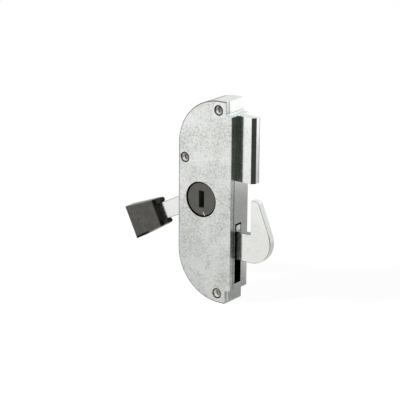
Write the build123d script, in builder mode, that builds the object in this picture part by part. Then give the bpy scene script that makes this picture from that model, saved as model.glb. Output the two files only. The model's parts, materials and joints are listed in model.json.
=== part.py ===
"""Hook lock for a sliding patio door, in millimetres.

Seen from the cover side, X runs to the front edge where the hook is, Y runs in
from the cover's outer face and Z is up. The origin is on the hub's axis, in the
plane of the cover's outer face. The lock is shown locked, with its hook raised.
"""
from build123d import *
import math
import os

os.makedirs("parts", exist_ok=True)

# Outline of the case and its cover
front_reach = 21.0
back_reach = 15.9
half_height = 60.05
back_corner_radius = 28.5
tab_height = 8.2
tab_setback = 3.8
notch_radius = 1.6
case_thickness = 17.0
wall = 1.8
floor_thickness = 2.2
outer_arris_radius = 0.3
seam_bevel = 0.3

# Cover
cover_thickness = 3.2
slot_rib_thickness = 1.4
rib_clearance = 0.15

# Rivets that close the case: their shape, their seats and their places
rivet_shank_radius = 2.0
rivet_rim_radius = 2.7
rivet_rim_depth = 0.3
rivet_lip_radius = 2.55
rivet_lip_depth = 0.2
rivet_flare_radius = 1.8
rivet_flare_depth = 0.75
rivet_bore_radius = 1.25
rivet_bore_start = 1.5
rivet_bore_end = 2.6
rivet_head_radius = 3.3
rivet_head_thickness = 1.1
rivet_head_recess = 0.1
rivet_fit = 0.05
rivet_seat_radius = 3.05
rivet_seat_angle = 90
rivet_boss_wall = 1.7
tab_rivet_setback = 5.3
tab_rivet_inset = 5.45
back_rivet_inset = 4.4
back_rivet_z = 23.3

# Keeper guide cast on the front of the case
guide_reach = 11.5
guide_thickness = 5.3
guide_near_depth = 5.9
guide_bottom = 13.4
guide_bevel = 1.9

# Hook plate, its window and its throw
hook_thickness = 4.4
hook_near_depth = 5.9
hook_edge_bevel = 0.35
throat_width = 9.8
neck_top = -16.7
neck_bottom = -33.7
shoulder_top = -13.2
tip_height = 3.9
tip_width = 5.1
tip_corner_radius = 1.3
tip_nose_drop = 0.9
lobe_radius = 13.6
throat_corner_radius = 0.8
window_top_clearance = 1.2
window_end_clearance = 0.9
window_far_clearance = 0.4
tail_back = 10.2
tail_front_clearance = 0.3
tail_top_web = 2.2

# Hub and its square-cut tailpiece slot
hub_radius = 10.5
hub_running_fit = 0.05
hub_face_recess = 0.55
hub_rim_step = 0.7
hub_rim_depth = 1.4
hub_flange_radius = 12.0
hub_flange_thickness = 0.9
hub_drive_radius = 8.0
hub_drive_flat = 6.5
hub_journal_radius = 6.5
hub_seat_wall = 2.2
hub_rear_recess = 0.2
hub_edge_bevel = 0.3
slot_width = 3.8
slot_height = 10.2
index_angle = -77.1
index_inner_radius = 7.5
index_width = 0.7
index_depth = 0.25
stack_clearance = 0.05
part_fit = 0.05

# Lever, its grip, and the drive arm on the same hub
lever_angle = 26.2
lever_offset = 0.85
lever_width = 10.0
lever_root_width = 11.0
lever_thickness = 2.8
lever_near_depth = 7.5
lever_length = 50.0
lever_eye_radius = 9.7
lever_slot_clearance = 0.5
drive_arm_thickness = 1.4
drive_radius = 15.3
drive_eye_radius = 9.7
drive_arm_end_radius = 3.0
drive_pin_radius = 2.2
drive_pin_shank_radius = 1.3
drive_pin_head_radius = 2.0
drive_pin_head_thickness = 0.5
drive_pin_overhang = 0.25
fork_clearance = 0.15
washer_thickness = 0.7
washer_radius = 9.2

# Grip
grip_outer_reach = 59.5
grip_pad_reach = 38.2
grip_ear_reach = 34.0
grip_outer_half_width = 10.15
grip_ear_half_width = 7.8
grip_near_depth = 3.0
grip_far_depth = 12.6
grip_ear_step = 2.6
grip_socket_fit = 0.05
grip_edge_radius = 0.6
grip_ear_end_radius = 1.3
gate_mark_reach = 52.6
gate_mark_drop = -1.2
gate_mark_radius = 0.7
gate_mark_depth = 0.3

# Guide posts of the hook
post_x = 14.55
upper_post_z = -14.0
lower_post_z = -30.4
post_radius = 1.55
post_shoulder_radius = 3.0
post_shank_radius = 1.8
post_slot_clearance = 0.1
post_side_clearance = 0.1
post_end_recess = 0.15
bush_wall = 0.8

# Toggle spring
wire_radius = 0.6
coil_radius = 3.2
coil_pitch = 1.75
coil_whole_turns = 2
spring_leg = 12.5
spring_ear_reach = 11.5
spring_ear_radius = 2.8
spring_hole_clearance = 0.15
spring_ear_gap = 0.3
spring_anchor_height = 30.0
spring_anchor_radius = 2.4
spring_anchor_gap = 0.3
spring_hook_depth = 2.6
spring_hole_depth = 4.0

# One overrun serves every cut
overrun = 1.0

# Places that follow from the sizes above
tab_front = front_reach - tab_setback
ledge = half_height - tab_height
case_width = front_reach + back_reach
case_middle = (front_reach - back_reach) / 2
floor_depth = case_thickness - floor_thickness
inner_front = front_reach - wall
hook_far_depth = hook_near_depth + hook_thickness
window_far_depth = hook_far_depth + window_far_clearance
lever_far_depth = lever_near_depth + lever_thickness
flange_near_depth = cover_thickness + 2 * stack_clearance
arm_near_depth = flange_near_depth + hub_flange_thickness + stack_clearance
arm_far_depth = arm_near_depth + drive_arm_thickness
washer_near_depth = lever_far_depth + stack_clearance
seat_near_depth = washer_near_depth + washer_thickness + stack_clearance
lever_tilt = math.radians(lever_angle)
hook_throw = 2 * drive_radius * math.sin(lever_tilt)
drive_pin_z = drive_radius * math.sin(lever_tilt)
fork_half_height = drive_pin_radius + fork_clearance
tail_top = drive_pin_z + fork_half_height + tail_top_web
throat_line = front_reach + throat_width
window_top = shoulder_top + window_top_clearance
window_bottom = neck_bottom - hook_throw - window_end_clearance

# Spring: its moving end on the lever's ear, its fixed end on the case boss
spring_ear = Vector(-math.sin(lever_tilt), math.cos(lever_tilt)) * spring_ear_reach
spring_anchor = Vector(0, spring_anchor_height)
spring_chord = spring_anchor - spring_ear
coil_offset = math.sqrt(spring_leg**2 + coil_radius**2 - (spring_chord.length / 2) ** 2)
coil_side = spring_chord.normalized().rotate(Axis.Z, -90)
coil_centre = (spring_ear + spring_anchor) / 2 + coil_side * coil_offset
leg_lead = math.atan2(spring_leg, coil_radius)
ear_bearing = spring_ear - coil_centre
anchor_bearing = spring_anchor - coil_centre
coil_start = math.atan2(ear_bearing.Y, ear_bearing.X) + leg_lead
coil_end = math.atan2(anchor_bearing.Y, anchor_bearing.X) - leg_lead
coil_turns = coil_whole_turns + (coil_end - coil_start) / (2 * math.pi) % 1
leg_slope = coil_pitch / (2 * math.pi * coil_radius)
ear_end_depth = lever_far_depth + spring_ear_gap + wire_radius
coil_near_depth = ear_end_depth - spring_leg * leg_slope
anchor_end_depth = coil_near_depth - coil_pitch * coil_turns - spring_leg * leg_slope
spring_boss_depth = anchor_end_depth + wire_radius + spring_anchor_gap

rivet_places = {
    "rivet_top": (tab_front - tab_rivet_setback, half_height - tab_rivet_inset),
    "rivet_back": (back_rivet_inset - back_reach, back_rivet_z),
    "rivet_bottom": (tab_front - tab_rivet_setback, tab_rivet_inset - half_height),
}
post_places = {
    "upper": (post_x, upper_post_z),
    "lower": (post_x, lower_post_z),
}


def at_depth(depth):
    """Sketch plane at a depth behind the cover face, X to the front, Z up."""
    return Plane.XZ.offset(-depth)


def on_lever(depth):
    """Sketch plane at a depth, with its own x axis out along the lever."""
    outward = (-math.cos(lever_tilt), 0, -math.sin(lever_tilt))
    return Plane(origin=(0, depth, 0), x_dir=outward, z_dir=(0, -1, 0))


# Sketch of the case outline, shared by the case and the cover
with BuildSketch() as case_outline:
    with Locations((case_middle, 0)):
        Rectangle(case_width, 2 * half_height)
    fillet(case_outline.vertices().group_by(Axis.X)[0], back_corner_radius)
    with Locations((front_reach, half_height), (front_reach, -half_height)):
        Rectangle(2 * tab_setback, 2 * tab_height, mode=Mode.SUBTRACT)
    notch_corners = case_outline.vertices().group_by(Axis.X)[-2]
    fillet(notch_corners.sort_by(Axis.Y)[1:3], notch_radius)

# Sketch of the hollow: the outline less its wall, between the two tabs
with BuildSketch() as cavity_outline:
    add(case_outline.sketch)
    offset(amount=-wall, kind=Kind.INTERSECTION)
    with Locations((case_middle, 0)):
        Rectangle(case_width, 2 * (ledge - wall), mode=Mode.INTERSECT)
    with Locations(rivet_places["rivet_back"]):
        Circle(rivet_shank_radius + rivet_fit + rivet_boss_wall, mode=Mode.SUBTRACT)
    with Locations((-back_reach, back_rivet_z)):
        boss_width = rivet_shank_radius + rivet_fit + rivet_boss_wall
        Rectangle(2 * back_rivet_inset, 2 * boss_width, mode=Mode.SUBTRACT)

# Sketch of the double-D that the lever parts share with the hub
with BuildSketch() as drive_section:
    Circle(hub_drive_radius)
    Rectangle(2 * hub_drive_radius, 2 * hub_drive_flat, mode=Mode.INTERSECT)

# Sketch of the hole that fits over it
with BuildSketch() as drive_hole:
    Circle(hub_drive_radius + part_fit)
    Rectangle(
        2 * (hub_drive_radius + part_fit),
        2 * (hub_drive_flat + part_fit),
        mode=Mode.INTERSECT,
    )

# Case body: a die-cast tray with the keeper guide cast on its front
with BuildPart() as case_body:
    with BuildSketch(at_depth(cover_thickness)):
        add(case_outline.sketch)
    extrude(amount=-(case_thickness - cover_thickness))
    back_edges = case_body.faces().sort_by(Axis.Y)[-1].edges()
    fillet(back_edges, outer_arris_radius)
    rim_edges = case_body.faces().sort_by(Axis.Y)[0].edges()
    chamfer(rim_edges, seam_bevel)
    with BuildSketch(at_depth(cover_thickness)):
        add(cavity_outline.sketch)
    extrude(amount=-(floor_depth - cover_thickness), mode=Mode.SUBTRACT)
    # Window for the hook, open to the cover side
    with BuildSketch(at_depth(cover_thickness)):
        with Locations((front_reach, (window_top + window_bottom) / 2)):
            Rectangle(2 * (wall + overrun), window_top - window_bottom)
    extrude(amount=-(window_far_depth - cover_thickness), mode=Mode.SUBTRACT)
    # Slot in the back edge for the lever's swing
    lever_slot_reach = back_reach * math.tan(lever_tilt)
    lever_slot_reach += (lever_root_width / 2 + lever_offset) / math.cos(lever_tilt)
    with BuildSketch(Plane.YZ.offset(-back_reach - overrun)):
        with Locations(((lever_near_depth + lever_far_depth) / 2, 0)):
            Rectangle(
                lever_thickness + 2 * lever_slot_clearance,
                2 * (lever_slot_reach + lever_slot_clearance),
            )
    extrude(amount=wall + 2 * overrun, mode=Mode.SUBTRACT)
    # Seat for the hub and boss for the fixed end of the spring
    with BuildSketch(at_depth(seat_near_depth)):
        Circle(hub_journal_radius + hub_running_fit + hub_seat_wall)
    extrude(amount=-(floor_depth - seat_near_depth))
    with BuildSketch(at_depth(spring_boss_depth)):
        with Locations((0, spring_anchor_height)):
            Circle(spring_anchor_radius)
    extrude(amount=-(floor_depth - spring_boss_depth))
    with BuildSketch(at_depth(spring_boss_depth)):
        with Locations((0, spring_anchor_height)):
            Circle(wire_radius + spring_hole_clearance)
    extrude(amount=-spring_hole_depth, mode=Mode.SUBTRACT)
    with BuildSketch(at_depth(seat_near_depth - overrun)):
        Circle(hub_journal_radius + hub_running_fit)
    extrude(amount=-(case_thickness - seat_near_depth + 2 * overrun), mode=Mode.SUBTRACT)
    # Holes for the rivets, with a round seat for each head
    for place in rivet_places.values():
        with BuildSketch(at_depth(cover_thickness)):
            with Locations(place):
                Circle(rivet_shank_radius + rivet_fit)
        extrude(amount=-case_thickness, mode=Mode.SUBTRACT)
        with BuildSketch(at_depth(case_thickness - rivet_head_thickness - rivet_fit)):
            with Locations(place):
                Circle(rivet_head_radius + rivet_fit)
        extrude(amount=-case_thickness, mode=Mode.SUBTRACT)
    # Holes for the shanks of the guide posts
    for place in post_places.values():
        with BuildSketch(at_depth(floor_depth)):
            with Locations(place):
                Circle(post_shank_radius + part_fit)
        extrude(amount=-case_thickness, mode=Mode.SUBTRACT)
    # Keeper guide bar
    with BuildSketch(Plane.XY.offset(guide_bottom)):
        with Locations((front_reach + guide_reach / 2 - wall / 2, guide_near_depth + guide_thickness / 2)):
            Rectangle(guide_reach + wall, guide_thickness)
    extrude(amount=ledge - guide_bottom)
    guide_edge = case_body.edges().filter_by(Axis.Z).group_by(Axis.X)[-1].sort_by(Axis.Y)[0]
    chamfer(guide_edge, guide_bevel)
case_body.part.label = "case_body"
export_step(case_body.part, "parts/case_body.step")

# Cover: a flat plate with the hub hole and a rib that closes the hook's window
with BuildPart() as case_cover:
    with BuildSketch(at_depth(0)):
        add(case_outline.sketch)
    extrude(amount=-cover_thickness)
    fillet(case_cover.faces().sort_by(Axis.Y)[0].edges(), outer_arris_radius)
    chamfer(case_cover.faces().sort_by(Axis.Y)[-1].edges(), seam_bevel)
    with BuildSketch(at_depth(cover_thickness - seam_bevel)):
        with Locations((front_reach - wall / 2, (window_top + window_bottom) / 2)):
            Rectangle(wall, window_top - window_bottom - 2 * rib_clearance)
    extrude(amount=-(slot_rib_thickness + seam_bevel))
    with BuildSketch(at_depth(0)):
        Circle(hub_radius + hub_running_fit)
    extrude(amount=-case_thickness, mode=Mode.SUBTRACT)
    with Locations(at_depth(0)):
        with Locations(*rivet_places.values()):
            CounterSinkHole(
                radius=rivet_shank_radius + rivet_fit,
                counter_sink_radius=rivet_seat_radius,
                depth=cover_thickness + overrun,
                counter_sink_angle=rivet_seat_angle,
            )
case_cover.part.label = "case_cover"
export_step(case_cover.part, "parts/case_cover.step")

# Semi-tubular rivets: a flat head in the case, a flared end in the cover
for rivet_name, (rivet_x, rivet_z) in rivet_places.items():
    rivet_plane = Plane(origin=(rivet_x, 0, rivet_z), x_dir=(1, 0, 0), z_dir=(0, 0, 1))
    head_inner = case_thickness - rivet_head_thickness
    head_outer = case_thickness - rivet_head_recess
    with BuildPart() as rivet:
        with BuildSketch(rivet_plane):
            with BuildLine():
                Polyline(
                    (rivet_bore_radius, rivet_bore_start),
                    (rivet_bore_radius, rivet_bore_end),
                    (0, rivet_bore_end + rivet_bore_radius / 2),
                    (0, head_outer),
                    (rivet_head_radius, head_outer),
                    (rivet_head_radius, head_inner),
                    (rivet_shank_radius, head_inner),
                    (rivet_shank_radius, rivet_rim_depth + rivet_rim_radius - rivet_shank_radius),
                    (rivet_rim_radius, rivet_rim_depth),
                    (rivet_lip_radius, rivet_lip_depth),
                )
                ThreePointArc(
                    (rivet_lip_radius, rivet_lip_depth),
                    (rivet_flare_radius, rivet_flare_depth),
                    (rivet_bore_radius, rivet_bore_start),
                )
            make_face()
        revolve(axis=Axis((rivet_x, 0, rivet_z), (0, 1, 0)))
    rivet.part.label = rivet_name
    export_step(rivet.part, f"parts/{rivet_name}.step")

# Hub: a moulded plug that turns in the cover and in the case floor
with BuildPart() as hub:
    with BuildSketch(at_depth(hub_face_recess)):
        Circle(hub_radius - hub_rim_step)
    extrude(amount=-hub_rim_depth)
    chamfer(hub.edges().group_by(Axis.Y)[0], hub_edge_bevel)
    with BuildSketch(at_depth(hub_face_recess + hub_rim_depth)):
        Circle(hub_radius)
    extrude(amount=-(flange_near_depth - hub_face_recess - hub_rim_depth))
    with BuildSketch(at_depth(flange_near_depth)):
        Circle(hub_flange_radius)
    extrude(amount=-hub_flange_thickness)
    with BuildSketch(on_lever(flange_near_depth)):
        add(drive_section.sketch)
    extrude(amount=-(lever_far_depth - flange_near_depth))
    with BuildSketch(at_depth(lever_far_depth)):
        Circle(hub_journal_radius)
    extrude(amount=-(case_thickness - hub_rear_recess - lever_far_depth))
    chamfer(hub.edges().group_by(Axis.Y)[-1], hub_edge_bevel)
    with BuildSketch(at_depth(-overrun)):
        Rectangle(slot_width, slot_height)
    extrude(amount=-(case_thickness + 2 * overrun), mode=Mode.SUBTRACT)
    # Index groove, cut into the rim of the face
    index_length = hub_radius - hub_rim_step + overrun - index_inner_radius
    with BuildSketch(at_depth(hub_face_recess)):
        with PolarLocations(index_inner_radius + index_length / 2, 1, index_angle):
            Rectangle(index_length, index_width)
    extrude(amount=-index_depth, mode=Mode.SUBTRACT)
hub.part.label = "hub"
export_step(hub.part, "parts/hub.step")

# Drive arm: keyed on the hub, it carries the pin that lifts the hook
with BuildPart() as drive_arm:
    with BuildSketch(on_lever(arm_near_depth)):
        Circle(drive_eye_radius)
        with Locations((-drive_radius, 0)):
            Circle(drive_arm_end_radius)
        make_hull()
        with Locations((-drive_radius, 0)):
            Circle(drive_pin_shank_radius + part_fit, mode=Mode.SUBTRACT)
        add(drive_hole.sketch, mode=Mode.SUBTRACT)
    extrude(amount=-drive_arm_thickness)
drive_arm.part.label = "drive_arm"
export_step(drive_arm.part, "parts/drive_arm.step")

# Drive pin: riveted in the arm, it runs in the hook's fork
with BuildPart() as drive_pin:
    with BuildSketch(on_lever(arm_near_depth - drive_pin_head_thickness)):
        with Locations((-drive_radius, 0)):
            Circle(drive_pin_head_radius)
    extrude(amount=-drive_pin_head_thickness)
    with BuildSketch(on_lever(arm_near_depth)):
        with Locations((-drive_radius, 0)):
            Circle(drive_pin_shank_radius)
    extrude(amount=-drive_arm_thickness)
    with BuildSketch(on_lever(arm_far_depth)):
        with Locations((-drive_radius, 0)):
            Circle(drive_pin_radius)
    extrude(amount=-(hook_far_depth + drive_pin_overhang - arm_far_depth))
drive_pin.part.label = "drive_pin"
export_step(drive_pin.part, "parts/drive_pin.step")

# Spacer between the drive arm and the lever
with BuildPart() as hub_spacer:
    with BuildSketch(on_lever(arm_far_depth + stack_clearance)):
        Circle(washer_radius)
        add(drive_hole.sketch, mode=Mode.SUBTRACT)
    extrude(amount=-(lever_near_depth - arm_far_depth - 2 * stack_clearance))
hub_spacer.part.label = "hub_spacer"
export_step(hub_spacer.part, "parts/hub_spacer.step")

# Lever: a blanked bar with an eye for the hub and an ear for the spring
with BuildPart() as lever:
    with BuildSketch(on_lever(lever_near_depth)):
        Circle(lever_eye_radius)
        with BuildLine():
            Polyline(
                (0, -lever_root_width / 2 - lever_offset),
                (grip_ear_reach, -lever_width / 2 - lever_offset),
                (lever_length, -lever_width / 2 - lever_offset),
                (lever_length, lever_width / 2 - lever_offset),
                (grip_ear_reach, lever_width / 2 - lever_offset),
                (0, lever_root_width / 2 - lever_offset),
                close=True,
            )
        make_face()
        with Locations((0, -spring_ear_reach)):
            Circle(spring_ear_radius)
        with Locations((0, -spring_ear_reach / 2)):
            Rectangle(2 * spring_ear_radius, spring_ear_reach)
        with Locations((0, -spring_ear_reach)):
            Circle(wire_radius + spring_hole_clearance, mode=Mode.SUBTRACT)
        add(drive_hole.sketch, mode=Mode.SUBTRACT)
    extrude(amount=-lever_thickness)
lever.part.label = "lever"
export_step(lever.part, "parts/lever.step")

# Thrust washer between the lever and the hub's seat in the case
with BuildPart() as thrust_washer:
    with BuildSketch(at_depth(washer_near_depth)):
        Circle(washer_radius)
        Circle(hub_journal_radius + part_fit, mode=Mode.SUBTRACT)
    extrude(amount=-washer_thickness)
thrust_washer.part.label = "thrust_washer"
export_step(thrust_washer.part, "parts/thrust_washer.step")

# Grip: a flared wedge pushed on the bar, with two ears that straddle it
with BuildPart() as lever_grip:
    with BuildSketch(on_lever(grip_near_depth)):
        with BuildLine():
            Polyline(
                (grip_ear_reach, -grip_ear_half_width - lever_offset),
                (grip_outer_reach, -grip_outer_half_width - lever_offset),
                (grip_outer_reach, grip_outer_half_width - lever_offset),
                (grip_ear_reach, grip_ear_half_width - lever_offset),
                close=True,
            )
        make_face()
    extrude(amount=-(grip_far_depth - grip_near_depth))
    # Step down from the pad to the ears, on both faces
    ear_length = grip_pad_reach - grip_ear_reach
    ear_middle = ((grip_pad_reach + grip_ear_reach - overrun) / 2, -lever_offset)
    for step_depth in (grip_near_depth, grip_far_depth - grip_ear_step):
        with BuildSketch(on_lever(step_depth)):
            with Locations(ear_middle):
                Rectangle(ear_length + overrun, 2 * grip_outer_half_width)
        extrude(amount=-grip_ear_step, mode=Mode.SUBTRACT)
    # Channel between the ears, open through the grip's depth
    with BuildSketch(on_lever(grip_near_depth)):
        with Locations(ear_middle):
            Rectangle(ear_length + overrun, lever_width + 2 * grip_socket_fit)
    extrude(amount=-(grip_far_depth - grip_near_depth), mode=Mode.SUBTRACT)
    ear_tips = lever_grip.edges().filter_by(Axis.Y)
    ear_tips = ear_tips.sort_by(lambda edge: edge.center().length)[:4]
    fillet(ear_tips, grip_ear_end_radius)
    # Socket for the bar
    socket_length = lever_length + grip_socket_fit - grip_pad_reach
    with BuildSketch(on_lever(lever_near_depth - grip_socket_fit)):
        with Locations((grip_pad_reach + socket_length / 2, -lever_offset)):
            Rectangle(socket_length, lever_width + 2 * grip_socket_fit)
    extrude(amount=-(lever_thickness + 2 * grip_socket_fit), mode=Mode.SUBTRACT)
    for face_index in (0, -1):
        pad_face = lever_grip.faces().sort_by(Axis.Y)[face_index]
        fillet(pad_face.edges(), grip_edge_radius)
    # Gate mark of the moulding, a shallow dimple on the near pad
    with BuildSketch(on_lever(grip_near_depth)):
        with Locations((gate_mark_reach, gate_mark_drop)):
            Circle(gate_mark_radius)
    extrude(amount=-gate_mark_depth, mode=Mode.SUBTRACT)
lever_grip.part.label = "lever_grip"
export_step(lever_grip.part, "parts/lever_grip.step")

# Hook: one blanked plate, with a tail that slides inside the case
lobe_centre = Vector(throat_line, neck_bottom + lobe_radius)
tip_shoulder = Vector(throat_line + tip_width, tip_height - tip_nose_drop)
lobe_bearing = lobe_centre - tip_shoulder
flank_length = math.sqrt(lobe_bearing.length**2 - lobe_radius**2)
flank_turn = math.degrees(math.asin(lobe_radius / lobe_bearing.length))
flank_foot = tip_shoulder + lobe_bearing.normalized().rotate(Axis.Z, flank_turn) * flank_length
tail_front = inner_front - tail_front_clearance
guide_slot_top = upper_post_z + hook_throw
guide_slot_bottom = lower_post_z
with BuildPart() as hook:
    with BuildSketch(at_depth(hook_near_depth)) as hook_sketch:
        with BuildLine():
            Polyline(
                (flank_foot.X, flank_foot.Y),
                (tip_shoulder.X, tip_shoulder.Y),
                (throat_line + tip_width / 2, tip_height),
                (throat_line, tip_height),
                (throat_line, neck_top),
                (front_reach, neck_top),
                (front_reach, shoulder_top),
                (tail_front, shoulder_top),
                (tail_front, tail_top),
                (tail_back, tail_top),
                (tail_back, neck_bottom),
                (throat_line, neck_bottom),
            )
            TangentArc((throat_line, neck_bottom), (flank_foot.X, flank_foot.Y), tangent=(1, 0))
        make_face()
    extrude(amount=-hook_thickness)
    throat_corner = hook.edges().filter_by(Axis.Y)
    throat_corner = throat_corner.sort_by_distance((throat_line, hook_near_depth, neck_top))[0]
    fillet(throat_corner, throat_corner_radius)
    tip_corner = hook.edges().filter_by(Axis.Y)
    tip_corner = tip_corner.sort_by_distance((throat_line, hook_near_depth, tip_height))[0]
    fillet(tip_corner, tip_corner_radius)
    tip_back = hook.edges().filter_by(Axis.Y)
    tip_back = tip_back.sort_by_distance((tip_shoulder.X, hook_near_depth, tip_shoulder.Y))[0]
    fillet(tip_back, tip_corner_radius)
    chamfer(hook.faces().filter_by(Axis.Y).edges(), hook_edge_bevel)
    # Slot for the guide posts
    with BuildSketch(at_depth(hook_near_depth)):
        with Locations((post_x, (guide_slot_top + guide_slot_bottom) / 2)):
            SlotCenterToCenter(
                guide_slot_top - guide_slot_bottom,
                2 * (post_radius + post_slot_clearance),
                rotation=90,
            )
    extrude(amount=-hook_thickness, mode=Mode.SUBTRACT)
    # Fork for the drive pin, open to the hub
    with BuildSketch(at_depth(hook_near_depth)):
        with Locations((drive_radius + fork_clearance, drive_pin_z)):
            Circle(fork_half_height)
        fork_length = drive_radius + fork_clearance - tail_back + overrun
        with Locations((drive_radius + fork_clearance - fork_length / 2, drive_pin_z)):
            Rectangle(fork_length, 2 * fork_half_height)
    extrude(amount=-hook_thickness, mode=Mode.SUBTRACT)
hook.part.label = "hook"
export_step(hook.part, "parts/hook.step")

# Guide posts: shouldered pins in the case floor, with a bush on the cover side
for post_name, (place_x, place_z) in post_places.items():
    with BuildPart() as guide_post:
        shoulder_depth = hook_far_depth + post_side_clearance
        with BuildSketch(at_depth(cover_thickness + post_end_recess)):
            with Locations((place_x, place_z)):
                Circle(post_radius)
        extrude(amount=-(shoulder_depth - cover_thickness - post_end_recess))
        with BuildSketch(at_depth(shoulder_depth)):
            with Locations((place_x, place_z)):
                Circle(post_shoulder_radius)
        extrude(amount=-(floor_depth - shoulder_depth))
        with BuildSketch(at_depth(floor_depth)):
            with Locations((place_x, place_z)):
                Circle(post_shank_radius)
        extrude(amount=-(floor_thickness - post_end_recess))
    guide_post.part.label = f"guide_post_{post_name}"
    export_step(guide_post.part, f"parts/guide_post_{post_name}.step")
    with BuildPart() as guide_bush:
        bush_near_depth = cover_thickness + stack_clearance
        with BuildSketch(at_depth(bush_near_depth)):
            with Locations((place_x, place_z)):
                Circle(post_radius + part_fit + bush_wall)
                Circle(post_radius + part_fit, mode=Mode.SUBTRACT)
        extrude(amount=-(hook_near_depth - post_side_clearance - bush_near_depth))
    guide_bush.part.label = f"guide_bush_{post_name}"
    export_step(guide_bush.part, f"parts/guide_bush_{post_name}.step")

# Toggle spring: a wound coil with two straight legs, each ending in a short hook
coil_plane = Plane(
    origin=(coil_centre.X, coil_near_depth, coil_centre.Y),
    x_dir=(math.cos(coil_start), 0, math.sin(coil_start)),
    z_dir=(0, -1, 0),
)
coil_path = coil_plane * Edge.make_helix(coil_pitch, coil_pitch * coil_turns, coil_radius)
with BuildPart() as toggle_spring:
    with BuildSketch(Plane(origin=coil_path @ 0, z_dir=coil_path % 0)):
        Circle(wire_radius)
    sweep(path=coil_path, is_frenet=True)
    leg_length = spring_leg * math.sqrt(1 + leg_slope**2)
    with BuildSketch(Plane(origin=coil_path @ 0, z_dir=-(coil_path % 0))):
        Circle(wire_radius)
    extrude(amount=leg_length)
    with BuildSketch(Plane(origin=coil_path @ 1, z_dir=coil_path % 1)):
        Circle(wire_radius)
    extrude(amount=leg_length)
    for elbow, elbow_depth, inward in (
        (spring_ear, ear_end_depth, 90),
        (spring_anchor, anchor_end_depth, -90),
    ):
        with Locations((elbow.X, elbow_depth, elbow.Y)):
            Sphere(wire_radius)
            Cylinder(
                wire_radius,
                spring_hook_depth,
                rotation=(inward, 0, 0),
                align=(Align.CENTER, Align.CENTER, Align.MIN),
            )
toggle_spring.part.label = "toggle_spring"
export_step(toggle_spring.part, "parts/toggle_spring.step")
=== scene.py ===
import json
import math

import bpy
from mathutils import Matrix, Vector


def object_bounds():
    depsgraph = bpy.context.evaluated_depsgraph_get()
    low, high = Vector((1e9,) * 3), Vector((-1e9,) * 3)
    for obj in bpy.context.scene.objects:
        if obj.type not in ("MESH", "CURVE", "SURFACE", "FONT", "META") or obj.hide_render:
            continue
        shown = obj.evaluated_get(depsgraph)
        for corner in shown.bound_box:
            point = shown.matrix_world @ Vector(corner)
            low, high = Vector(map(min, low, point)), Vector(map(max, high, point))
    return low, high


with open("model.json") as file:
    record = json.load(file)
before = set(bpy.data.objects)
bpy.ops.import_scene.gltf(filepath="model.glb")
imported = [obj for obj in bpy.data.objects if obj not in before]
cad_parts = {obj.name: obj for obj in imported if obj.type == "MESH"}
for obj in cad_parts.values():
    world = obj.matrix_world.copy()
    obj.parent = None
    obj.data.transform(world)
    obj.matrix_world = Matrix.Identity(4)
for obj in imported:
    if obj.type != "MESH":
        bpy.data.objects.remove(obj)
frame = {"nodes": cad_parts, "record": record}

# Looks of a sliding patio door hook lock: finishes, studio light and camera.
# Lengths are in metres, in the frame of the model, and angles in degrees.
MM = 0.001
cad_low, cad_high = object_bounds()
scene = bpy.context.scene


def mm(*sizes):
    """Sizes given in millimetres, in metres."""
    return tuple(size * MM for size in sizes)


# Camera, at the photograph's viewing angle; the sensor's width is in Blender's millimetres
VIEW_AZIMUTH = 36.33
VIEW_ELEVATION = 17.55
VIEW_ROLL = 0.45
IMAGE_WIDTH = 400
FOCAL_PIXELS = 1850.3
PIXEL_SIZE = 0.573 * MM
HUB_PIXEL_RIGHT = 0.83
HUB_PIXEL_UP = 0.55
SENSOR_WIDTH = 36.0
CLIP_START = 0.01
CLIP_END = 100

# Key lamp
KEY_AZIMUTH = -38
KEY_ELEVATION = 27.5
KEY_DISTANCE = 2.5
KEY_SIZE = 0.35
KEY_POWER = 49.0

# Floor: its grey, how much of its shading the camera sees, and its glow in reflections
FLOOR_SIZE = 30.0
FLOOR_GREY = 0.90
FLOOR_DARK = (0.044, 0.058, 0.040)
FLOOR_ROUGHNESS = 0.9
FLOOR_SHADE_SEEN = 0.12
FLOOR_GLOW_SEEN = 1.06
FLOOR_GLOW_NEAR = 0.11
FLOOR_GLOW_FAR = 0.16
FLOOR_GLOW_SPAN = mm(60, 330)

# Sectors of the floor in reflections: azimuth, half width where full and where gone, and the
# two distances between which the sector begins
CAMERA_SECTOR = (40, 26, 42, *mm(45, 85))
LEFT_SECTOR = (-120, 15, 38, *mm(30, 90))
LEFT_DARK = 0.6
BACK_SECTOR = (144, 26, 42, *mm(5, 30))
BACK_DARK = 0.10
BACK_GLOW = 0.12
BACK_STEP = mm(250, 259)
BACK_GLOW_FAR = 0.44
BACK_FAR_STEP = mm(357, 381)
LOBE_SECTORS = ((116, 9, 17, *mm(48, 60)), (164, 22, 29, *mm(38, 46)))
LOBE_END = mm(120, 150)
LOBE_GLOW = 0.3

# Surroundings in reflections: zones with azimuth, elevation, half angle where full and where
# gone, and their colour
STUDIO_PALE = (0.95, 0.96, 0.95)
STUDIO_ZONES = (
    ((144, 25, 9, 18), (1.05, 1.18, 1.28)),
    ((141, 0, 13, 17), (0.50, 0.50, 0.49)),
    ((-144, 20, 16, 45), (0.88, 0.89, 0.86)),
)
CAMERA_ZONE = (40, -8, 16, 26)
CAMERA_DARK = (0.050, 0.056, 0.046)

# Share of the dark camera side that a first reflection shows
SEEN_ONCE = 0.6

# Surroundings that light matt surfaces: their strength and their darker zone
AMBIENT = 0.45
AMBIENT_ZONE = (62, 0, 20, 75)
AMBIENT_DARK = (0.12, 0.12, 0.12)
WHITE = (1.0, 1.0, 1.0)

# Sockets of a colour Mix node: factor and two colours in, one colour out
MIX_INPUTS = (0, 6, 7)
MIX_OUTPUT = 2

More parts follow.
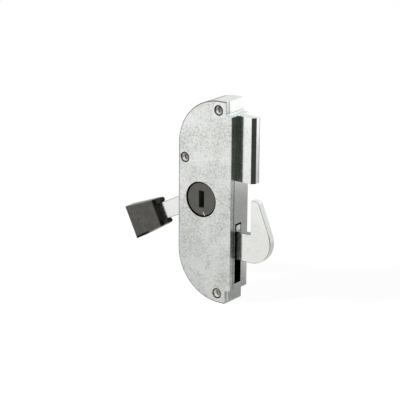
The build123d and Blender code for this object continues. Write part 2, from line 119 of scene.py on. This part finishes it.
# Mottle of the plating: its noises, how the cloud gathers them (from, to), and the values
# between which each darkens and how much
CLOUD = {"scale": 60, "detail": 3, "roughness": 0.6}
FLECK = {"scale": 820, "detail": 4, "roughness": 0.75, "distortion": 0.6}
FINE = {"scale": 2400, "detail": 2, "roughness": 0.6}
SWIRL = {"scale": 380, "detail": 3, "roughness": 0.6, "distortion": 1.8}
TINT = {"scale": 90, "detail": 3}
GATHERED = (0.35, 0.65, 0.40, 1.0)
FLECK_DARKENS = (0.42, 0.66, 1.0)
FINE_DARKENS = (0.45, 0.75, 0.6)
SWIRL_DARKENS = (0.50, 0.66, 0.42)
CLOUD_DARKENS = 0.20
TINT_RANGE = (0.42, 0.62)
TINT_COLOUR = (1.0, 0.997, 0.98)
PLATING_ROUGHNESS_VARIES = 0.10
PLATING_BUMP = 0.004 * MM

# Texture of the nylon
NYLON_CLOUD = {"scale": 260, "detail": 4, "roughness": 0.6}
NYLON_FINE = {"scale": 2600, "detail": 2}
NYLON_WORN_RANGE = (0.35, 0.7)
NYLON_ROUGHNESS_VARIES = 0.16
NYLON_BUMP = 0.02 * MM

# Outline of the case: radius and middle of its big corners, front edge, and the seam
CORNER_RADIUS = 28.5 * MM
CORNER_X = 12.6 * MM
CORNER_Z = 31.55 * MM
FRONT = 21.0 * MM
SEAM_DEPTH = 3.2 * MM
SEAM_WIDTH = mm(0.25, 0.4)
SEAM_REACH = mm(51.0, 52.0)
COVER_SEAM_DARK = 0.75
CASTING_SEAM_DARK = 0.8

# Cover: painted shade on the rolled outline and the front strip, a dark nick on top and a light one
# by the hub
ROLL_WIDTH = mm(0.3, 0.75)
ROLL_DEPTH = mm(0.15, 0.4)
ROLL_SHADE_AND_NICK = 0.85
STRIP_START = (FRONT - 0.1 * MM, FRONT - 0.05 * MM)
STRIP_SHADE = 0.12
TOP_NICK = mm(8.0, 0.0, 60.0)
TOP_NICK_SIZE = mm(0.4, 0.8)
HUB_NICK = mm(2.9, 0.0, -11.0)
HUB_NICK_SIZE = mm(0.3, 0.7)
HUB_NICK_LEFT = 1.2

# Rivets and their seats in the cover, with painted shade in the seats and at the rivets' rims and
# bores
RIVETS = (mm(11.9, 54.6), mm(-11.5, 23.3), mm(11.9, -54.6))
SEAT_RADIUS = 3.05 * MM
SEAT_EDGE = mm(0.02, 0.12)
SEAT_INSIDE = (SEAT_RADIUS, SEAT_RADIUS + 0.06 * MM)
SEAT_SHADE = 0.88
RIM_RADII = mm(2.15, 2.4)
RIM_SHADE = 0.93
BORE_RADII = mm(0.9, 1.25)
BORE_SHADE = 0.7

# Inside of the case, where shade is painted, and the hook's neck and shoulder in its window; the
# shoulder is kept out of the painted shade
NECK_TOP = -16.7 * MM
INSIDE_WALL = mm(1.0, 1.3)
INSIDE_FRONT = (FRONT - 1.0 * MM, FRONT - 0.5 * MM)
INSIDE_DEPTH = 9.0 * MM
INSIDE_HALF_DEPTH = mm(5.9, 6.0)
INSIDE_REACH = mm(50.8, 51.2)
INSIDE_SHADE = 0.95
SHOULDER_MIDDLE = NECK_TOP + 1.5 * MM
SHOULDER_HALF = mm(1.8, 2.0)
SHOULDER_WALL = mm(9.8, 10.0)

# Casting: painted dark reflection on the guide's bevel (where x - y is the offset), its darker far
# arris, and a painted highlight on the upper tab
BEVEL_OFFSET = 24.7 * MM
BEVEL_WIDTH = mm(0.15, 0.3)
BEVEL_START = mm(30.4, 30.5)
BEVEL_DARK_REFLECTION = 0.85
FAR_ARRIS_DEPTH = mm(10.45, 10.7)
FAR_ARRIS_START = mm(32.2, 32.3)
FAR_ARRIS_DARK = 0.55
TAB_BOTTOM = mm(51.9, 52.3)
TAB_START = mm(17.0, 17.1)
TAB_HIGHLIGHT = 0.08

# Hook: painted shade where it is inside the case and on the neck's top, a dark near arris, and
# sheared flanks at both sides of its middle
HOOK_SHADE_FRONT = (FRONT - 0.6 * MM, FRONT - 0.1 * MM)
HOOK_INSIDE_SHADE = 0.98
THROAT = 30.8 * MM
NECK_EDGE = mm(0.12, 0.3)
NECK_END = (THROAT - 1.2 * MM, THROAT - 0.4 * MM)
NECK_SHADE = 0.62
HOOK_NEAR = 5.9 * MM
HOOK_ARRIS = HOOK_NEAR + 0.26 * MM
HOOK_ARRIS_WIDTH = mm(0.12, 0.22)
HOOK_ARRIS_DARK = 0.45
HOOK_MIDDLE = 8.1 * MM
HOOK_FLANK = mm(1.75, 1.85)
FLANK_ROUGHER = 0.24

# Hub: depth of the slot's painted shadow, painted shade in a ring at its rim, index line
SLOT_SHADOW = mm(0.7, 2.2)
SLOT_LEFT = 0.6
RING_RADII = mm(9.5, 9.75)
RING_SHADE = 0.85
INDEX_ANGLE = -60
INDEX_START = 7.0 * MM
INDEX_END_SOFT = 0.3 * MM
INDEX_SIDE = -2.8 * MM
INDEX_WIDTH = mm(0.2, 0.42)
INDEX_DEPTH = mm(1.2, 1.5)
INDEX_COLOUR = (0.72, 0.69, 0.62)
HUB_SPECULAR = 0.35

# Lever and grip: tilt, sides, and the marks along them by the distance out from the hub
LEVER_TILT = 26.2
LEVER_OFFSET = 0.85 * MM
LEVER_HALF_WIDTH = 5.5 * MM
LEVER_TAPER = 0.0147
LEVER_ARRIS = mm(0.15, 0.5)
LEVER_ARRIS_DARK = 0.65
GRIP_HALF_WIDTH = 4.667 * MM
GRIP_FLARE = 0.0922
EARS_END = mm(38.2, 38.4)
# Painted shadow on the grip's ears, with less gloss there
EARS_DARK = 0.6
EARS_SHADE_GLOSS_CUT = 0.8
# Painted highlight and sheen on the grip's top edge
GRIP_TOP_WIDTH = mm(0.25, 0.8)
GRIP_TOP_START = mm(36, 50)
GRIP_TOP_HIGHLIGHT = (0.12, 0.105, 0.09)
# A lighter brown line along the grip's lower arris
LOWER_LINE_WIDTH = mm(0.2, 0.55)
LOWER_LINE_END = mm(46, 49)
LOWER_LINE_COLOUR = (0.30, 0.25, 0.17)
# Painted shadow on the grip's lower band
FOOT_WIDTH = mm(0.9, 1.4)
FOOT_START = mm(48, 50)
FOOT_SHADE = 0.8
GRIP_SHADE_GLOSS_CUT = 0.95
GRIP_SPECULAR = 0.3
SHEEN_ROUGHNESS = 0.25
SHEEN_TINT = (1.0, 0.9, 0.8)


def add(tree, kind, inputs=None, **settings):
    """A node of this kind, its inputs set to values or linked to other nodes' sockets."""
    made = tree.nodes.new(kind)
    for name, value in settings.items():
        setattr(made, name, value)
    for key, value in (inputs or {}).items():
        if isinstance(value, bpy.types.NodeSocket):
            tree.links.new(value, made.inputs[key])
        else:
            made.inputs[key].default_value = value
    return made


def calc(tree, operation, first, second=0.0, clamp=False):
    """Output of a Math node."""
    inputs = {0: first, 1: second}
    return add(tree, "ShaderNodeMath", inputs, operation=operation, use_clamp=clamp).outputs[0]


def product(tree, first, *others):
    """Product of values."""
    for other in others:
        first = calc(tree, "MULTIPLY", first, other)
    return first


def without(tree, share):
    """What is left of 1 without this share."""
    return calc(tree, "SUBTRACT", 1.0, share)


def vector_calc(tree, operation, first, second=(0.0, 0.0, 0.0)):
    """Vector that comes out of a Vector Math node."""
    inputs = {0: first, 1: second}
    return add(tree, "ShaderNodeVectorMath", inputs, operation=operation).outputs["Vector"]


def vector_value(tree, operation, first, second=(0.0, 0.0, 0.0)):
    """Distance, length or dot product that comes out of a Vector Math node."""
    inputs = {0: first, 1: second}
    return add(tree, "ShaderNodeVectorMath", inputs, operation=operation).outputs["Value"]


def axes(tree, place):
    """X, Y and Z of a place."""
    return add(tree, "ShaderNodeSeparateXYZ", {0: place}).outputs


def remap(tree, value, low, high, to_low=0.0, to_high=1.0):
    """A value taken smoothly from low..high to to_low..to_high."""
    limits = {"From Min": low, "From Max": high, "To Min": to_low, "To Max": to_high}
    inputs = {"Value": value, **limits}
    return add(tree, "ShaderNodeMapRange", inputs, interpolation_type="SMOOTHSTEP").outputs[0]


def fall(tree, value, full, end):
    """1 up to the first limit, 0 past the second."""
    return remap(tree, value, full, end, 1.0, 0.0)


def near(tree, value, middle, inner, outer):
    """1 where a value is within inner of the middle, 0 past outer."""
    away = calc(tree, "ABSOLUTE", calc(tree, "SUBTRACT", value, middle))
    return fall(tree, away, inner, outer)


def blend(tree, factor, first, second, mode="MIX"):
    """Output of a colour Mix node."""
    first, second = [(*c, 1.0) if isinstance(c, tuple) else c for c in (first, second)]
    inputs = dict(zip(MIX_INPUTS, (factor, first, second)))
    made = add(tree, "ShaderNodeMix", inputs, data_type="RGBA", blend_type=mode)
    return made.outputs[MIX_OUTPUT]


def keep(tree, dark, amount):
    """What is left of a colour where a mark of 0 to 1 darkens it by this amount."""
    return without(tree, calc(tree, "MULTIPLY", dark, amount))


def shaded(tree, colour, left):
    """A colour times what is left of it."""
    grey = add(tree, "ShaderNodeCombineColor", {0: left, 1: left, 2: left}).outputs[0]
    return blend(tree, 1.0, colour, grey, mode="MULTIPLY")


def noise(tree, place, scale, detail=3.0, roughness=0.5, distortion=0.0):
    """Value of a Noise Texture, its scale in features per metre."""
    look = {"Scale": scale, "Detail": detail, "Roughness": roughness, "Distortion": distortion}
    return add(tree, "ShaderNodeTexNoise", {"Vector": place, **look}).outputs[0]


def bump(tree, shader, height, distance):
    """Joins a height, in metres times the distance, to the shader's normal."""
    made = add(tree, "ShaderNodeBump", {"Height": height, "Distance": distance})
    tree.links.new(made.outputs[0], shader.inputs["Normal"])


def new_material(name):
    """A new material, with its tree, its shader and the place on the object."""
    material = bpy.data.materials.new(name)
    material.use_nodes = True
    tree = material.node_tree
    shader = tree.nodes["Principled BSDF"]
    place = add(tree, "ShaderNodeTexCoord").outputs["Object"]
    return material, tree, shader, place


def toward(azimuth, elevation):
    """Unit vector; azimuth 0 is towards the viewer of the cover, 90 towards the front edge."""
    a, e = math.radians(azimuth), math.radians(elevation)
    return Vector((math.sin(a) * math.cos(e), -math.cos(a) * math.cos(e), math.sin(e)))


def facing(tree, heading, azimuth, elevation, inner, outer):
    """1 within the inner angle of a direction, 0 past the outer one."""
    dot = vector_value(tree, "DOT_PRODUCT", heading, toward(azimuth, elevation))
    return remap(tree, dot, math.cos(math.radians(outer)), math.cos(math.radians(inner)))


def seen_directly(tree, path):
    """1 for rays straight from the camera or through something clear."""
    return calc(tree, "ADD", path["Is Camera Ray"], path["Is Transmission Ray"], clamp=True)


def camera_side_seen(tree, path):
    """Share of the dark camera side that shows in a first and in later reflections."""
    return remap(tree, path["Ray Depth"], 1.0, 2.0, SEEN_ONCE, 1.0)


def in_plate(tree, place):
    """A place moved along Y into the plane of the cover."""
    return vector_calc(tree, "MULTIPLY", place, (1, 0, 1))


def along(tree, x, z, direction_x, direction_z):
    """How far a place lies along a direction in the plane of the cover."""
    first = calc(tree, "MULTIPLY", x, direction_x)
    return calc(tree, "ADD", first, calc(tree, "MULTIPLY", z, direction_z))


def rivet_distance(tree, place):
    """Distance from the nearest rivet's axis."""
    flat = in_plate(tree, place)
    first, *others = [vector_value(tree, "DISTANCE", flat, (x, 0, z)) for x, z in RIVETS]
    for other in others:
        first = calc(tree, "MINIMUM", first, other)
    return first


def outline_distance(tree, x, z):
    """Distance inside the rounded back, top and bottom of the case's outline."""
    past_x = calc(tree, "MAXIMUM", calc(tree, "SUBTRACT", CORNER_X, x), 0.0)
    height = calc(tree, "ABSOLUTE", z)
    past_z = calc(tree, "MAXIMUM", calc(tree, "SUBTRACT", height, CORNER_Z), 0.0)
    squares = calc(tree, "ADD", product(tree, past_x, past_x), product(tree, past_z, past_z))
    return calc(tree, "SUBTRACT", CORNER_RADIUS, calc(tree, "SQRT", squares))


def lever_place(tree, place):
    """Distance out along the lever and distance below its axis."""
    x, _, z = axes(tree, place)
    tilt = math.radians(LEVER_TILT)
    cos, sin = math.cos(tilt), math.sin(tilt)
    out = along(tree, x, z, -cos, -sin)
    below = along(tree, x, z, sin, -cos)
    return out, calc(tree, "ADD", below, LEVER_OFFSET)


def seam_mark(tree, y, z):
    """1 at the seam between cover and casting, up to the tabs."""
    seam = near(tree, y, SEAM_DEPTH, *SEAM_WIDTH)
    return product(tree, seam, near(tree, z, 0.0, *SEAM_REACH))


# Each of these gives what is left of the plating's colour at a place: painted shade and highlight,
# seams and nicks.

def cover_marks(tree, place):
    """Painted shade on the rolled outline, the front strip and in the rivet seats; a dark seam and
    two nicks.
    """
    x, y, z = axes(tree, place)
    # Painted shade along the rolled outline; the dark top nick takes the same amount
    roll = fall(tree, outline_distance(tree, x, z), *ROLL_WIDTH)
    roll = product(tree, roll, fall(tree, y, *ROLL_DEPTH))
    top_nick = fall(tree, vector_value(tree, "DISTANCE", place, TOP_NICK), *TOP_NICK_SIZE)
    edge = calc(tree, "MAXIMUM", roll, top_nick)
    # Painted shade in the rivet seats
    away = rivet_distance(tree, place)
    seat_edge = near(tree, away, SEAT_RADIUS, *SEAT_EDGE)
    seat = calc(tree, "MAXIMUM", seat_edge, fall(tree, away, *SEAT_INSIDE))
    # Painted shade on the front strip
    strip = remap(tree, x, *STRIP_START)
    nick_away = vector_value(tree, "DISTANCE", place, HUB_NICK)
    return product(
        tree,
        keep(tree, edge, ROLL_SHADE_AND_NICK),
        keep(tree, seat, SEAT_SHADE),
        keep(tree, strip, STRIP_SHADE),
        remap(tree, nick_away, *HUB_NICK_SIZE, HUB_NICK_LEFT, 1.0),
        keep(tree, seam_mark(tree, y, z), COVER_SEAM_DARK),
    )


def casting_marks(tree, place):
    """Dark seam, a darker far arris, painted shade inside, a painted dark reflection on the guide's
    bevel, and a painted highlight on the upper tab.
    """
    x, y, z = axes(tree, place)
    shoulder = near(tree, z, SHOULDER_MIDDLE, *SHOULDER_HALF)
    # Painted shade inside the case, kept off the hook's shoulder
    inside = product(
        tree,
        remap(tree, outline_distance(tree, x, z), *INSIDE_WALL),
        fall(tree, x, *INSIDE_FRONT),
        near(tree, y, INSIDE_DEPTH, *INSIDE_HALF_DEPTH),
        near(tree, z, 0.0, *INSIDE_REACH),
        without(tree, product(tree, shoulder, remap(tree, y, *SHOULDER_WALL))),
    )
    # Painted dark reflection on the guide's bevel
    bevel = near(tree, calc(tree, "SUBTRACT", x, y), BEVEL_OFFSET, *BEVEL_WIDTH)
    bevel = product(tree, bevel, remap(tree, x, *BEVEL_START))
    far_arris = remap(tree, y, *FAR_ARRIS_DEPTH)
    far_arris = product(tree, far_arris, remap(tree, x, *FAR_ARRIS_START))
    # Painted highlight on the upper tab
    tab = product(tree, remap(tree, z, *TAB_BOTTOM), remap(tree, x, *TAB_START))
    return product(
        tree,
        keep(tree, inside, INSIDE_SHADE),
        keep(tree, bevel, BEVEL_DARK_REFLECTION),
        keep(tree, far_arris, FAR_ARRIS_DARK),
        keep(tree, tab, -TAB_HIGHLIGHT),
        keep(tree, seam_mark(tree, y, z), CASTING_SEAM_DARK),
    )


def hook_marks(tree, place):
    """Painted shade where the hook is inside the case and on the neck's top, and a dark near arris.
    """
    x, y, z = axes(tree, place)
    # Painted shade on the top of the neck
    neck = near(tree, z, NECK_TOP, *NECK_EDGE)
    neck = product(tree, neck, fall(tree, x, *NECK_END))
    return product(
        tree,
        # Painted shade where the hook is inside the case
        keep(tree, fall(tree, x, *HOOK_SHADE_FRONT), HOOK_INSIDE_SHADE),
        keep(tree, neck, NECK_SHADE),
        keep(tree, near(tree, y, HOOK_ARRIS, *HOOK_ARRIS_WIDTH), HOOK_ARRIS_DARK),
    )


def rivet_marks(tree, place):
    """Painted shade in the roll-off at the rim and down the bore."""
    away = rivet_distance(tree, place)
    rim = remap(tree, away, *RIM_RADII)
    bore = fall(tree, away, *BORE_RADII)
    return product(tree, keep(tree, rim, RIM_SHADE), keep(tree, bore, BORE_SHADE))


def lever_marks(tree, place):
    """Dark sheared arrises along the bar."""
    out, below = lever_place(tree, place)
    half = calc(tree, "SUBTRACT", LEVER_HALF_WIDTH, calc(tree, "MULTIPLY", out, LEVER_TAPER))
    edge = calc(tree, "SUBTRACT", half, calc(tree, "ABSOLUTE", below))
    return keep(tree, fall(tree, edge, *LEVER_ARRIS), LEVER_ARRIS_DARK)


# Each of these gives the nylon's colour at a place, its specular level and its sheen, if any.

def hub_paint(tree, place, shade):
    """Painted shadow down the tailpiece slot, painted shade in a ring at the rim, and the pale
    index line.
    """
    x, y, z = axes(tree, place)
    radius = vector_value(tree, "LENGTH", in_plate(tree, place))
    # Painted shade in a ring at the rim, and painted shadow down the slot
    ring = remap(tree, radius, *RING_RADII)
    slot_left = remap(tree, y, *SLOT_SHADOW, 1.0, SLOT_LEFT)
    left = product(tree, slot_left, keep(tree, ring, RING_SHADE))
    angle = math.radians(INDEX_ANGLE)
    cos, sin = math.cos(angle), math.sin(angle)
    out = calc(tree, "SUBTRACT", along(tree, x, z, cos, sin), INDEX_START)
    across = calc(tree, "SUBTRACT", along(tree, x, z, -sin, cos), INDEX_SIDE)
    line = product(
        tree,
        near(tree, across, 0.0, *INDEX_WIDTH),
        remap(tree, out, 0.0, INDEX_END_SOFT),
        fall(tree, y, *INDEX_DEPTH),
    )
    shade = blend(tree, line, shaded(tree, shade, left), INDEX_COLOUR)
    return shade, calc(tree, "MULTIPLY", left, HUB_SPECULAR), None


def grip_paint(tree, place, shade):
    """Painted shadow on the ears and the lower band, a painted highlight on the top edge, and a
    lighter line along the lower arris.
    """
    out, below = lever_place(tree, place)
    half = calc(tree, "ADD", calc(tree, "MULTIPLY", out, GRIP_FLARE), GRIP_HALF_WIDTH)
    from_top = calc(tree, "ADD", half, below)
    from_foot = calc(tree, "SUBTRACT", half, below)
    # Painted shadow on the ears
    ears = fall(tree, out, *EARS_END)
    shade = shaded(tree, shade, keep(tree, ears, EARS_DARK))
    # Painted highlight on the top edge
    top = fall(tree, from_top, *GRIP_TOP_WIDTH)
    top = product(tree, top, remap(tree, out, *GRIP_TOP_START))
    shade = blend(tree, top, shade, GRIP_TOP_HIGHLIGHT)
    # A lighter brown line along the lower arris
    lighter_tone = product(tree, fall(tree, from_foot, *LOWER_LINE_WIDTH), fall(tree, out, *LOWER_LINE_END))
    shade = blend(tree, lighter_tone, shade, LOWER_LINE_COLOUR)
    # Painted shadow on the lower band
    foot = fall(tree, from_foot, *FOOT_WIDTH)
    foot = product(tree, foot, remap(tree, out, *FOOT_START))
    shade = shaded(tree, shade, keep(tree, foot, FOOT_SHADE))
    # Less gloss in the painted shadows of the ears and the lower band
    shade_gloss_cut = calc(tree, "MAXIMUM", calc(tree, "MULTIPLY", ears, EARS_SHADE_GLOSS_CUT), foot)
    specular = calc(tree, "MULTIPLY", keep(tree, shade_gloss_cut, GRIP_SHADE_GLOSS_CUT), GRIP_SPECULAR)
    # The top edge's mask also sets a painted sheen there
    return shade, specular, top


def plated(name, bright, dark, roughness, mottle, marks=None, sheared=False):
    """Bright zinc plating: fine flecks that gather in clouds, and tiny pits."""
    material, tree, shader, place = new_material(name)
    gathered = remap(tree, noise(tree, place, **CLOUD), *GATHERED)
    fleck = noise(tree, place, **FLECK)
    fine = noise(tree, place, **FINE)
    swirl = noise(tree, place, **SWIRL)
    shade = calc(tree, "MULTIPLY", gathered, CLOUD_DARKENS * mottle)
    layers = ((fleck, FLECK_DARKENS), (fine, FINE_DARKENS), (swirl, SWIRL_DARKENS))
    for value, (low, high, amount) in layers:
        spots = remap(tree, value, low, high, 0.0, amount * mottle)
        shade = calc(tree, "ADD", shade, product(tree, spots, gathered), clamp=True)
    warm = tuple(share * part for share, part in zip(TINT_COLOUR, bright))
    tint = remap(tree, noise(tree, place, **TINT), *TINT_RANGE)
    colour = blend(tree, shade, blend(tree, tint, bright, warm), dark)
    if marks:
        colour = shaded(tree, colour, marks(tree, place))
    tree.links.new(colour, shader.inputs["Base Color"])
    shader.inputs["Metallic"].default_value = 1.0
    if sheared:
        _, y, _ = axes(tree, place)
        flank = near(tree, y, HOOK_MIDDLE, *HOOK_FLANK)
        roughness = calc(tree, "ADD", calc(tree, "MULTIPLY", flank, FLANK_ROUGHER), roughness)
    varies = calc(tree, "SUBTRACT", fine, 0.5)
    varies = calc(tree, "MULTIPLY", varies, PLATING_ROUGHNESS_VARIES)
    tree.links.new(calc(tree, "ADD", varies, roughness), shader.inputs["Roughness"])
    bump(tree, shader, calc(tree, "ADD", fine, fleck), PLATING_BUMP)
    return material


def moulded(name, colour, lighter_tone, roughness, paint):
    """Satin moulded nylon with a fine spark texture."""
    material, tree, shader, place = new_material(name)
    fine = noise(tree, place, **NYLON_FINE)
    wear = remap(tree, noise(tree, place, **NYLON_CLOUD), *NYLON_WORN_RANGE)
    shade, specular, sheen = paint(tree, place, blend(tree, wear, colour, lighter_tone))
    tree.links.new(shade, shader.inputs["Base Color"])
    tree.links.new(specular, shader.inputs["Specular IOR Level"])
    if sheen is not None:
        tree.links.new(sheen, shader.inputs["Sheen Weight"])
        shader.inputs["Sheen Roughness"].default_value = SHEEN_ROUGHNESS
        shader.inputs["Sheen Tint"].default_value = (*SHEEN_TINT, 1.0)
    varies = calc(tree, "MULTIPLY", fine, NYLON_ROUGHNESS_VARIES)
    lowest = roughness - NYLON_ROUGHNESS_VARIES / 2
    tree.links.new(calc(tree, "ADD", varies, lowest), shader.inputs["Roughness"])
    bump(tree, shader, fine, NYLON_BUMP)
    return material


# Bright and dark colour, roughness, mottle, marks, and whether the flanks are sheared
PLATED = {
    "zinc_plate": ((0.865, 0.88, 0.862), (0.475, 0.49, 0.465), 0.28, 0.92, cover_marks),
    "zinc_casting": ((0.92, 0.935, 0.92), (0.62, 0.64, 0.61), 0.15, 0.6, casting_marks),
    "hook_steel": ((0.97, 0.98, 0.955), (0.76, 0.77, 0.735), 0.14, 0.55, hook_marks, True),
    "lever_steel": ((0.95, 0.955, 0.95), (0.76, 0.76, 0.755), 0.18, 0.35, lever_marks),
    "plated_steel": ((0.78, 0.78, 0.76), (0.6, 0.6, 0.58), 0.32, 0.3),
    "rivet_steel": ((0.80, 0.77, 0.74), (0.50, 0.46, 0.42), 0.26, 0.4, rivet_marks),
    "pin_steel": ((0.70, 0.70, 0.70), (0.5, 0.5, 0.5), 0.25, 0.2),
    "spring_steel": ((0.35, 0.35, 0.37), (0.22, 0.22, 0.24), 0.30, 0.3),
}

# Colour, worn colour, roughness and paint
MOULDED = {
    "black_nylon": ((0.070, 0.069, 0.060), (0.084, 0.082, 0.073), 0.42, hub_paint),
    "grip_nylon": ((0.055, 0.053, 0.046), (0.078, 0.075, 0.066), 0.36, grip_paint),
}

materials = {name: plated(name, *look) for name, look in PLATED.items()}
materials.update({name: moulded(name, *look) for name, look in MOULDED.items()})

for row in frame["record"]["subparts"]:
    node = frame["nodes"][row["node"]]
    material = materials[row["material_slot"]]
    if not node.material_slots:
        node.data.materials.append(material)
    for slot in node.material_slots:
        slot.material = material


def floor_paper():
    """Pale matt paper, with dark and lit sectors in reflections, almost white to the camera."""
    material, tree, shader, place = new_material("floor_paper")
    path = add(tree, "ShaderNodeLightPath").outputs
    glossy = path["Is Glossy Ray"]
    ground = vector_calc(tree, "MULTIPLY", place, (1, 1, 0))
    distance = vector_value(tree, "LENGTH", ground)
    heading = vector_calc(tree, "NORMALIZE", ground)

    def sector(azimuth, inner, outer, start, full):
        """1 in a sector of the floor, past a distance, fading at its sides."""
        side = facing(tree, heading, azimuth, 0, inner, outer)
        return calc(tree, "MULTIPLY", side, remap(tree, distance, start, full))

    back = sector(*BACK_SECTOR)
    left_dark = calc(tree, "MULTIPLY", sector(*LEFT_SECTOR), LEFT_DARK)
    back_dark = product(tree, back, remap(tree, distance, *BACK_STEP, BACK_DARK, 0.0))
    dark = calc(tree, "MAXIMUM", sector(*CAMERA_SECTOR), left_dark)
    dark = calc(tree, "MAXIMUM", dark, back_dark)
    dark = product(tree, dark, glossy, camera_side_seen(tree, path))
    paper = blend(tree, dark, (FLOOR_GREY, FLOOR_GREY, FLOOR_GREY), FLOOR_DARK)
    tree.links.new(paper, shader.inputs["Base Color"])
    shader.inputs["Roughness"].default_value = FLOOR_ROUGHNESS
    shader.inputs["Specular IOR Level"].default_value = 0.0

    glow = remap(tree, distance, *FLOOR_GLOW_SPAN, FLOOR_GLOW_NEAR, FLOOR_GLOW_FAR)
    glow = product(tree, glow, without(tree, back))
    back_glow = remap(tree, distance, *BACK_STEP, 0.0, BACK_GLOW)
    far_glow = remap(tree, distance, *BACK_FAR_STEP, 0.0, BACK_GLOW_FAR)
    back_glow = product(tree, calc(tree, "ADD", back_glow, far_glow), back)
    lobe = calc(tree, "MAXIMUM", *[sector(*limits) for limits in LOBE_SECTORS])
    lobe_glow = product(tree, lobe, fall(tree, distance, *LOBE_END), LOBE_GLOW)
    glow = calc(tree, "ADD", calc(tree, "ADD", glow, back_glow), lobe_glow)
    glow = product(tree, glow, without(tree, dark), glossy)
    shader.inputs["Emission Color"].default_value = (*WHITE, 1.0)
    tree.links.new(glow, shader.inputs["Emission Strength"])

    light = {"Color": (*WHITE, 1.0), "Strength": FLOOR_GLOW_SEEN}
    white = add(tree, "ShaderNodeEmission", light).outputs[0]
    share = calc(tree, "MULTIPLY", seen_directly(tree, path), 1 - FLOOR_SHADE_SEEN)
    mixed = add(tree, "ShaderNodeMixShader", {0: share, 1: shader.outputs[0], 2: white})
    tree.links.new(mixed.outputs[0], tree.nodes["Material Output"].inputs["Surface"])
    return material


def make_floor():
    """A wide floor under the object that keeps its shadow."""
    half = FLOOR_SIZE / 2
    sides = ((-half, -half), (half, -half), (half, half), (-half, half))
    mesh = bpy.data.meshes.new("floor")
    mesh.from_pydata([(x, y, cad_low.z) for x, y in sides], [], [(0, 1, 2, 3)])
    floor = bpy.data.objects.new("floor", mesh)
    scene.collection.objects.link(floor)
    mesh.materials.append(floor_paper())


def make_world():
    """Surroundings: pale with a dark camera side in reflections, white to the camera."""
    world = bpy.data.worlds.new("studio")
    scene.world = world
    world.use_nodes = True
    tree = world.node_tree
    tree.nodes.clear()
    heading = add(tree, "ShaderNodeTexCoord").outputs["Generated"]
    path = add(tree, "ShaderNodeLightPath").outputs

    def background(colour, strength):
        """Shader of a Background node."""
        return add(tree, "ShaderNodeBackground", {"Color": colour, "Strength": strength}).outputs[0]

    colour = STUDIO_PALE
    for zone, seen in STUDIO_ZONES:
        colour = blend(tree, facing(tree, heading, *zone), colour, seen)
    dark = product(tree, facing(tree, heading, *CAMERA_ZONE), camera_side_seen(tree, path))
    glossy = background(blend(tree, dark, colour, CAMERA_DARK), 1.0)
    ambient = blend(tree, facing(tree, heading, *AMBIENT_ZONE), WHITE, AMBIENT_DARK)
    diffuse = background(ambient, AMBIENT)
    white = background((*WHITE, 1.0), 1.0)
    inputs = {0: path["Is Glossy Ray"], 1: diffuse, 2: glossy}
    lit = add(tree, "ShaderNodeMixShader", inputs).outputs[0]
    inputs = {0: seen_directly(tree, path), 1: lit, 2: white}
    shown = add(tree, "ShaderNodeMixShader", inputs).outputs[0]
    add(tree, "ShaderNodeOutputWorld", {"Surface": shown})


def make_key_lamp():
    """A soft square lamp aimed at the middle of the object, hidden from reflections."""
    data = bpy.data.lights.new("key", "AREA")
    data.size = KEY_SIZE
    data.energy = KEY_POWER
    lamp = bpy.data.objects.new("key", data)
    scene.collection.objects.link(lamp)
    middle = (cad_low + cad_high) / 2
    lamp.location = middle + toward(KEY_AZIMUTH, KEY_ELEVATION) * KEY_DISTANCE
    lamp.rotation_mode = "QUATERNION"
    lamp.rotation_quaternion = (middle - lamp.location).to_track_quat("-Z", "Y")
    lamp.visible_glossy = False


def make_camera():
    """Camera of the photograph, worked out from its view of the hub's face."""
    back = toward(VIEW_AZIMUTH, VIEW_ELEVATION)
    side = toward(VIEW_AZIMUTH + 90, 0)
    above = back.cross(side)
    roll = math.radians(VIEW_ROLL)
    right = math.cos(roll) * side + math.sin(roll) * above
    up = math.cos(roll) * above - math.sin(roll) * side
    data = bpy.data.cameras.new("camera")
    data.sensor_width = SENSOR_WIDTH
    data.lens = SENSOR_WIDTH * FOCAL_PIXELS / IMAGE_WIDTH
    data.clip_start = CLIP_START
    data.clip_end = CLIP_END
    camera = bpy.data.objects.new("camera", data)
    scene.collection.objects.link(camera)
    place = back * FOCAL_PIXELS - right * HUB_PIXEL_RIGHT - up * HUB_PIXEL_UP
    turn = Matrix((right, up, back)).transposed().to_4x4()
    camera.matrix_world = Matrix.Translation(place * PIXEL_SIZE) @ turn
    scene.camera = camera


make_floor()
make_world()
make_key_lamp()
make_camera()
scene.view_settings.view_transform = "Standard"
